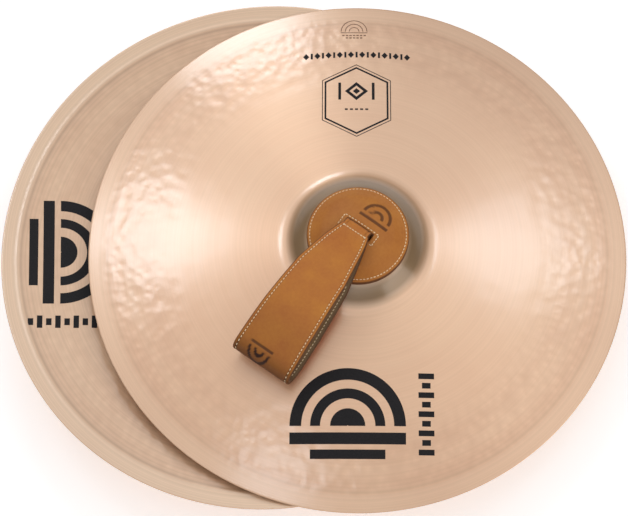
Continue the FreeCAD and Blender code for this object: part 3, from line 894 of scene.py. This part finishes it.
def make_strap(name, place, azimuth, loop, flip, skew, slot_side):
    """Outer leather, lining and seams of one loop."""
    line = StrapLine(loop, skew, slot_side)
    swing_height = Matrix.Translation((0, 0, SWING_Z * MM))
    frame_matrix = place @ Matrix.Rotation(azimuth, 4, "Z") @ swing_height @ flip
    inner = layer_mesh(line, 0.06, LINING_THICKNESS - 0.02, 0.15, 0)
    outer = layer_mesh(line, LINING_THICKNESS, STRAP_THICKNESS, 0.0, 1)
    edge_places, cross_places = [], []
    first = float(np.interp(CROSS_SEAM_PLACE, line.u[:200], line.place[:200]))
    count = round((line.length - 2 * first) / STITCH_PITCH)
    for index in range(count + 1):
        station = first + (line.length - 2 * first) * index / count
        half = float(line.half_width(line.at(station)[0])) - STRAP_SEAM_INSET
        for side in (-1, 1):
            seams = [(SEAM_HEIGHT, 1), (LINING_SEAM_HEIGHT, -1)]
            if line.at(station)[0] <= LINING_SEAM_START:
                seams.pop()
            for height, face in seams:
                edge_places.append(strap_stitch(line, station, side * half, height, face))
    half = float(line.half_width(CROSS_SEAM_PLACE)) - STRAP_SEAM_INSET
    for station in (first, line.length - first):
        for v in np.linspace(-half + 1.2, half - 1.2, CROSS_STITCHES):
            point, _, outward = strap_stitch(line, station, float(v), CROSS_HEIGHT, 1)
            cross_places.append((point, ALONG_Y, outward))
    pieces = [
        (name + "_strap_leather", outer, STRAP_LEATHER, "strap_leather", name + "_strap_outer"),
        (name + "_strap_lining_leather", inner, LINING_LEATHER, "lining_leather", name + "_strap_lining"),
        (name + "_strap_edge_stitches", (*stitches(edge_places), None), THREAD, "thread",
         name + "_strap_edge_thread"),
        (name + "_strap_cross_stitches", (*stitches(cross_places), None), THREAD, "thread",
         name + "_strap_cross_thread"),
    ]
    start, end = (frame_matrix @ Vector((u * MM, 0, 0)) for u in (BEND_START, BEND_END))
    for piece_name, (points, faces, tint), material, slot, node in pieces:
        piece = make_piece(piece_name, points, faces, frame_matrix, material, None, slot, [node], tint)
        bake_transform(piece)
        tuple(start)
        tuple(end)


# ---- knots inside the bells
KNOT_HALF = 15.0
KNOT_HEIGHT = 11.0
KNOT_CORNER = 8.0
BELL_TOP_Z = BELL_CENTRE_Z + BELL_DOME_RADIUS
KNOT_REACH = (KNOT_HALF - KNOT_CORNER) * math.sqrt(2) + KNOT_CORNER
KNOT_TOP = BELL_CENTRE_Z + math.sqrt((BELL_DOME_RADIUS - PLATE_THICKNESS) ** 2 - KNOT_REACH ** 2) - PAD_GAP
KNOT_MIDDLE = KNOT_TOP - KNOT_HEIGHT / 2
WEAVE_HEIGHT = 2.5
WEAVE_RUN = 14
TAIL_SLOPE = 21.0
TAIL_START = 11.0
TAIL_REACH = 57.0


def swept_lace(stations, corners=20):
    """Lace from (centre, half width, half thickness, across, upward) stations, closed at its ends."""
    rows = []
    angles = ring_angles(corners)
    for centre, half_width, half_thickness, across, upward in stations:
        side, rise = superellipse(angles, (half_width, half_thickness), 4.0)
        rows.append(np.outer(side, across) + np.outer(rise, upward) + centre)
    return np.concatenate(rows), tube_faces(len(rows), corners)


def four_laces(stations_of):
    """Four laces, each a right angle round from the one before."""
    parts = []
    for quarter in range(4):
        points, faces = swept_lace(stations_of())
        for _ in range(quarter):
            points = points[:, [1, 0, 2]] * (-1, 1, 1)
        parts.append((points, faces))
    return joined(parts)


def knot_lace():
    stations = []
    for x in np.linspace(-KNOT_HALF, KNOT_HALF, 41):
        ease = (1 - min(1.0, abs(x) / (KNOT_HALF + 0.02)) ** 5) ** 0.5
        weave = -WEAVE_HEIGHT * math.sin(math.pi * x / WEAVE_RUN) * (0.35 + 0.65 * ease)
        slope = -WEAVE_HEIGHT * math.pi / WEAVE_RUN * math.cos(math.pi * x / WEAVE_RUN) * 0.6
        upward = np.array([-slope, 0, 1]) / math.hypot(slope, 1)
        centre = np.array([x, 7.2, KNOT_MIDDLE + weave])
        stations.append((centre, 6.5 * (0.8 + 0.2 * ease), 0.5 + 2.2 * ease, ALONG_Y, upward))
    return stations


def make_knot(name, place, body):
    """Four laces woven over and under each other into a flat square."""
    points, faces = four_laces(knot_lace)
    height = points[:, 2] - KNOT_MIDDLE
    make_piece(name + "_knot_lace", points, faces, place, LACE_LEATHER, body, "lace_leather",
               [name + "_strap_knot"], 0.55 * bump(height, 0.0, 2.0))


def lace_end(rng):
    phase, lean = rng.uniform(0, 6.28), rng.uniform(-0.6, 0.6)
    stations = []
    for x in np.linspace(TAIL_START, TAIL_REACH, 34):
        run = (x - TAIL_START) / (TAIL_REACH - TAIL_START)
        tip = (1 - run ** 10) ** 0.5
        drop = (KNOT_HALF - x) * sin(TAIL_SLOPE) / cos(TAIL_SLOPE)
        wave = 0.45 * math.sin(phase + 7 * run) * run
        centre = np.array([x, 6.5 + lean * run, KNOT_MIDDLE + drop + wave])
        upward = np.array([sin(TAIL_SLOPE), 0, cos(TAIL_SLOPE)])
        half_width = 5.4 * (0.86 + 0.14 * tip) - 0.7 * run
        stations.append((centre, half_width, 0.25 + 0.95 * tip, ALONG_Y, upward))
    return stations


def make_lace_ends(name, place, body):
    rng = random.Random(SEED + 5)
    points, faces = four_laces(lambda: lace_end(rng))
    reach = np.hypot(points[:, 0], points[:, 1])
    make_piece(name + "_lace_ends", points, faces, place, LACE_LEATHER, body, "lace_leather",
               [name + "_strap_tails"], 0.7 * smoothstep(reach, TAIL_REACH - 3, TAIL_REACH))


def make_neck(name, place, body):
    """The laces together, narrowing from the slot to the bell's hole."""
    columns = 48
    angles = ring_angles(columns)
    rows = []
    for z in np.linspace(KNOT_TOP - 1.0, SWING_Z - 9.5, 30):
        widen = float(smoothstep(z, BELL_TOP_Z + 0.2, SWING_Z - 10.5))
        half = (4.0 - 1.2 * widen, 4.4 + 7.2 * widen)
        x, y = superellipse(angles, half, 3.0)
        folds = 1 - 0.05 * np.abs(np.cos(2 * angles)) * (1 - widen)
        rows.append(np.stack([x * folds, y * folds, np.full(columns, z)], axis=-1))
    make_piece(name + "_neck_lace", np.concatenate(rows), tube_faces(len(rows), columns), place,
               LACE_LEATHER, body, "lace_leather", [name + "_strap_neck"])


# ---- printed marks
# Plain signs of no maker: a sunrise, rows of blocks and a double hexagon.
MARK_STEP = 3.0
MARK_LIFT = 0.05


def arch_patch(y, inner, outer):
    around = max(6, round(math.pi * outer / MARK_STEP))
    across = max(1, round((outer - inner) / MARK_STEP))
    angle = np.linspace(0, math.pi, around + 1)
    radius = np.linspace(inner, outer, across + 1)
    radius, angle = np.meshgrid(radius, angle, indexing="ij")
    return radius * np.cos(angle), y + radius * np.sin(angle)


def quad_patch(corners):
    (ax, ay), (bx, by), (cx, cy), (dx, dy) = corners
    along = max(1, round(math.hypot(bx - ax, by - ay) / MARK_STEP))
    across = max(1, round(math.hypot(dx - ax, dy - ay) / MARK_STEP))
    s, t = np.meshgrid(np.linspace(0, 1, along + 1), np.linspace(0, 1, across + 1), indexing="ij")
    return ((ax * (1 - s) + bx * s) * (1 - t) + (dx * (1 - s) + cx * s) * t,
            (ay * (1 - s) + by * s) * (1 - t) + (dy * (1 - s) + cy * s) * t)


def bar_patch(x, y, width, height):
    w, h = width / 2, height / 2
    return quad_patch([(x - w, y - h), (x + w, y - h), (x + w, y + h), (x - w, y + h)])


def diamond_patch(x, y, half_width, half_height):
    return quad_patch([(x, y - half_height), (x + half_width, y), (x, y + half_height), (x - half_width, y)])


def outline_patches(corners, width):
    """Bands along the sides of a polygon, given anticlockwise, mitred at its corners."""
    count = len(corners)
    inner = []
    for index in range(count):
        before, here, after = (np.array(corners[(index + step) % count]) for step in (-1, 0, 1))
        first = (here - before) / np.linalg.norm(here - before)
        second = (after - here) / np.linalg.norm(after - here)
        bisector = np.array([-first[1] - second[1], first[0] + second[0]])
        bisector /= np.linalg.norm(bisector)
        inner.append(here + bisector * width / np.dot(bisector, [-first[1], first[0]]))
    return [quad_patch([corners[i], corners[(i + 1) % count], inner[(i + 1) % count], inner[i]])
            for i in range(count)]


def sunrise(size):
    """Half disc and two half rings over two bars, size wide."""
    unit = size / 99
    arcs = [(0.5, 15.0), (23.5, 32.0), (39.5, 49.5)]
    patches = [arch_patch(-9.5 * unit, inner * unit, outer * unit) for inner, outer in arcs]
    patches.append(bar_patch(0, -20 * unit, 99 * unit, 10 * unit))
    patches.append(bar_patch(0, -33.5 * unit, 64 * unit, 8 * unit))
    return patches


def block_row(length, height, count):
    """Blocks in a row along Y, every second one narrower."""
    pitch = length / count
    widths = (height, height * 0.55)
    return [bar_patch(0, -length / 2 + pitch * (index + 0.5), widths[index % 2], pitch * 0.6)
            for index in range(count)]


def arched_row(width, height, bend, count):
    """Small diamonds and bars in turn, on an arc that is highest in the middle."""
    patches = []
    for index in range(count):
        x = width * (index / (count - 1) - 0.5)
        y = -(bend - math.sqrt(bend ** 2 - x ** 2))
        if index % 2:
            patches.append(bar_patch(x, y, height * 0.28, height * 0.9))
        else:
            patches.append(diamond_patch(x, y, height * 0.42, height * 0.5))
    return patches


def hexagon(half_width, half_height):
    shoulder = half_height * 0.55
    return [(0, -half_height), (half_width, -shoulder), (half_width, shoulder), (0, half_height),
            (-half_width, shoulder), (-half_width, -shoulder)]


def badge():
    """Double hexagon round a diamond, a bar and a row of dashes."""
    patches = outline_patches(hexagon(29.8, 36.0), 0.7) + outline_patches(hexagon(27.6, 33.4), 1.6)
    patches += outline_patches([(0, 0), (10, 9), (0, 18), (-10, 9)], 2.6)
    patches.append(diamond_patch(0, 9, 3.2, 2.9))
    patches += [bar_patch(side * 14.5, 9, 2.4, 17) for side in (-1, 1)]
    patches += [bar_patch(4.4 * step, -9, 2.6, 1.5) for step in (-2, -1, 0, 1, 2)]
    return patches


def engraved():
    """Thin outlined sunrise over two rows of dashes."""
    patches = [arch_patch(-2.0, radius, radius + 0.7) for radius in (4.0, 7.4, 11.0)]
    patches.append(bar_patch(0, -3.2, 23.4, 0.7))
    for row, count in ((-6.0, 7), (-8.6, 5)):
        patches += [bar_patch(3.1 * (index - (count - 1) / 2), row, 2.1, 1.1) for index in range(count)]
    return patches


def mark_mesh(patches, x, y, angle, inside, marks):
    """Thin closed solids that follow the plate, one per patch."""
    cosine, sine = cos(angle), sin(angle)
    parts = []
    for grid_x, grid_y in patches:
        plan_x = x + grid_x * cosine - grid_y * sine
        plan_y = y + grid_x * sine + grid_y * cosine
        rows, columns = plan_x.shape
        top, bottom = (plate_surface_point(plan_x, plan_y, inside, marks, lift).reshape(-1, 3)
                       for lift in (MARK_LIFT, -MARK_LIFT))
        count = rows * columns
        upper_faces = grid_quads(rows, columns, False, False)
        faces = upper_faces + [[index + count for index in face[::-1]] for face in upper_faces]
        border = list(range(columns)) + [r * columns + columns - 1 for r in range(1, rows)]
        border += [(rows - 1) * columns + c for c in range(columns - 2, -1, -1)]
        border += [r * columns for r in range(rows - 2, 0, -1)]
        faces += [[a, a + count, b + count, b] for a, b in zip(border, border[1:] + border[:1])]
        parts.append((np.concatenate([top, bottom]), faces))
    return joined(parts)


OUTSIDE_MARKS = [
    ("sunrise_mark", sunrise(96.0), -1.0, -148.6, 2.8, BLACK_INK),
    ("block_mark", block_row(71.0, 13.0, 9), 63.8, -144.4, 2.8, BLACK_INK),
    ("row_mark", arched_row(88.0, 6.4, 385.0, 19), -9.2, 179.5, 2.8, BLACK_INK),
    ("badge_mark", badge(), -7.2, 133.5, 2.8, BLACK_INK),
    ("engraved_mark", engraved(), -12.6, 205.2, 2.8, BROWN_INK),
]
INSIDE_MARKS = [
    ("inner_sunrise_mark", sunrise(94.0), -169.5, 6.3, -94.7, BLACK_INK),
    ("inner_block_mark", block_row(76.6, 11.3, 10), -163.4, 69.6, 85.5, BLACK_INK),
]


def make_marks(name, place, marks):
    for inside, listed in ((False, OUTSIDE_MARKS), (True, INSIDE_MARKS)):
        for mark_name, patches, x, y, angle, ink in listed:
            points, faces = mark_mesh(patches, x, y, angle, inside, marks)
            make_piece(name + "_" + mark_name, points, faces, place, ink, name + "_plate", "bronze")


# ---- the whole scene
make_camera()
make_floor()
make_studio()
HAMMER_MARKS = {key: hammer_marks(random.Random(SEED + turn)) for turn, key in enumerate(PLACES)}
for name, place in PLACES.items():
    make_plate(name, place, HAMMER_MARKS[name])

for name, strap_settings in STRAPS.items():
    azimuth = strap_azimuth(name)
    place = PLACES[name]
    pad_matrix = place @ Matrix.Rotation(azimuth, 4, "Z")
    for make_part in (make_cover, make_pad_layers, make_pad_stitches):
        make_part(name, pad_matrix, name + "_pad")
    make_strap(name, place, azimuth, *strap_settings)

for name, place in PLACES.items():
    pad_matrix = place @ Matrix.Rotation(strap_azimuth(name), 4, "Z")
    for make_lace in (make_knot, make_lace_ends, make_neck):
        make_lace(name, pad_matrix, name + "_pad")
    make_marks(name, place, HAMMER_MARKS[name])
